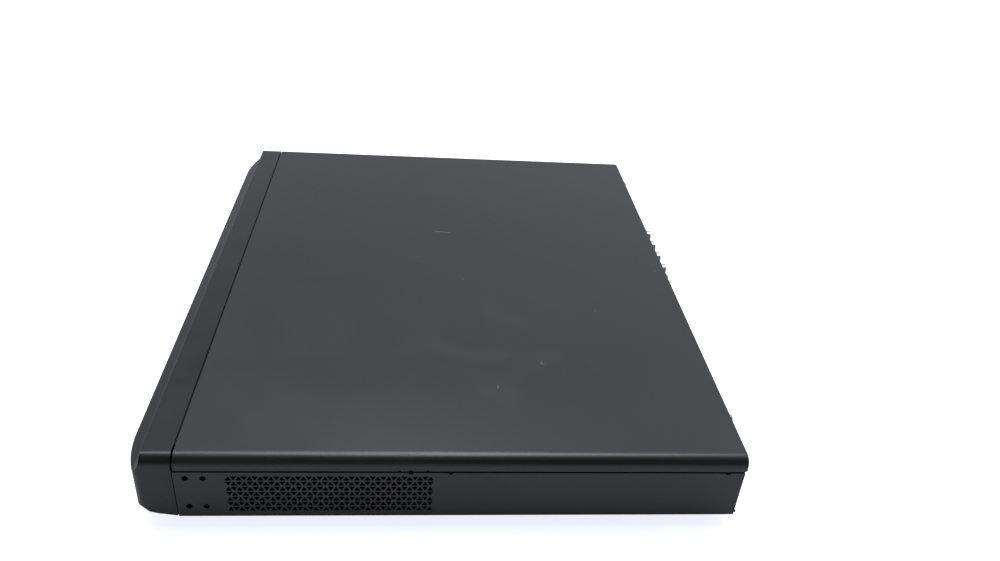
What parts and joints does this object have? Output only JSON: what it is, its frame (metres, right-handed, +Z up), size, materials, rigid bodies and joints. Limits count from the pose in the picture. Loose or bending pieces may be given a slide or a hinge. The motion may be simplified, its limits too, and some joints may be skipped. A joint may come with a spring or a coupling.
{
  "type": "dvr recorder",
  "caption": "Low black steel video recorder case with a moulded scooped front, triangular side vents, rear sockets and its inner boards.",
  "frame": {"origin": "middle of the footprint, on the surface that the feet stand on", "axes": "+X to the right seen from the front, +Y to the rear where the sockets are, +Z up"},
  "size_m": [0.375, 0.3256, 0.0484],
  "materials": {
    "painted_steel": "black powder coat, fine orange-peel texture, satin to matte",
    "bezel_plastic": "black moulded ABS, fine spark-eroded texture",
    "black_plastic": "black moulded plastic",
    "red_plastic": "red moulded plastic",
    "white_plastic": "white moulded plastic",
    "green_plastic": "green moulded plastic",
    "plated_steel": "nickel-plated steel, slightly brushed",
    "bare_aluminium": "extruded aluminium",
    "drive_casting": "cast aluminium with pressed steel lid",
    "circuit_board": "green solder mask",
    "phenolic_board": "brown paper-phenolic board",
    "capacitor_sleeve": "black shrink sleeve",
    "yellow_tape": "yellow polyester tape",
    "light_pipe": "clear light pipe",
    "dark_window": "dark infrared-passing plastic",
    "foot_rubber": "black rubber",
    "red_cable": "red flexible jacket",
    "yellow_cable": "yellow flexible jacket",
    "black_cable": "black flexible jacket",
    "brown_cable": "brown flexible jacket",
    "grey_ribbon": "grey ribbon cable"
  },
  "bodies": {
    "case": {"chassis_base": "painted_steel", "rear_panel": "painted_steel", "front_bezel": "bezel_plastic", "cover_screw_left": "plated_steel", "cover_screw_middle": "plated_steel", "cover_screw_right": "plated_steel", "foot_front_left": "foot_rubber", "foot_front_right": "foot_rubber", "foot_rear_left": "foot_rubber", "foot_rear_right": "foot_rubber", "bnc_socket_1": "plated_steel", "bnc_socket_2": "plated_steel", "bnc_socket_3": "plated_steel", "bnc_socket_4": "plated_steel", "bnc_socket_5": "plated_steel", "bnc_socket_6": "plated_steel", "bnc_socket_7": "plated_steel", "bnc_socket_8": "plated_steel", "video_input_block": "black_plastic", "audio_in_jack": "red_plastic", "audio_out_jack": "white_plastic", "vga_port": "plated_steel", "hdmi_port": "plated_steel", "network_port": "plated_steel", "rear_usb_port": "plated_steel", "alarm_terminal": "green_plastic", "ground_screw": "plated_steel", "power_inlet": "black_plastic", "switch_housing": "black_plastic", "main_board": "circuit_board", "processor": "black_plastic", "heat_sink": "bare_aluminium", "fan_frame": "black_plastic", "coin_cell": "plated_steel", "power_board": "phenolic_board", "power_capacitor": "capacitor_sleeve", "power_transformer": "yellow_tape", "power_heat_sink": "bare_aluminium", "hard_drive": "drive_casting", "front_board": "circuit_board", "status_light_1": "light_pipe", "status_light_2": "light_pipe", "status_light_3": "light_pipe", "remote_window": "dark_window", "front_usb_port": "plated_steel", "drive_data_cable": "red_cable", "drive_power_cable": "yellow_cable", "board_power_cable": "black_cable", "mains_lead": "brown_cable", "front_panel_cable": "grey_ribbon"},
    "cover": {"top_cover": "painted_steel"},
    "rocker": {"switch_rocker": "red_plastic"},
    "fan": {"fan_rotor": "black_plastic"}
  },
  "joints": [
    {"name": "cover_lift", "type": "slide", "parent": "case", "child": "cover", "axis": [0, 0, 1], "range_m": [0, 0.12]},
    {"name": "rocker_tilt", "type": "hinge", "parent": "case", "child": "rocker", "pos_m": [-0.119, 0.1508, 0.025], "axis": [1, 0, 0], "range_deg": [0, 16]},
    {"name": "fan_spin", "type": "hinge", "parent": "case", "child": "fan", "pos_m": [0.042, 0.0843, 0.036], "axis": [0, 0, 1], "continuous": true}
  ]
}
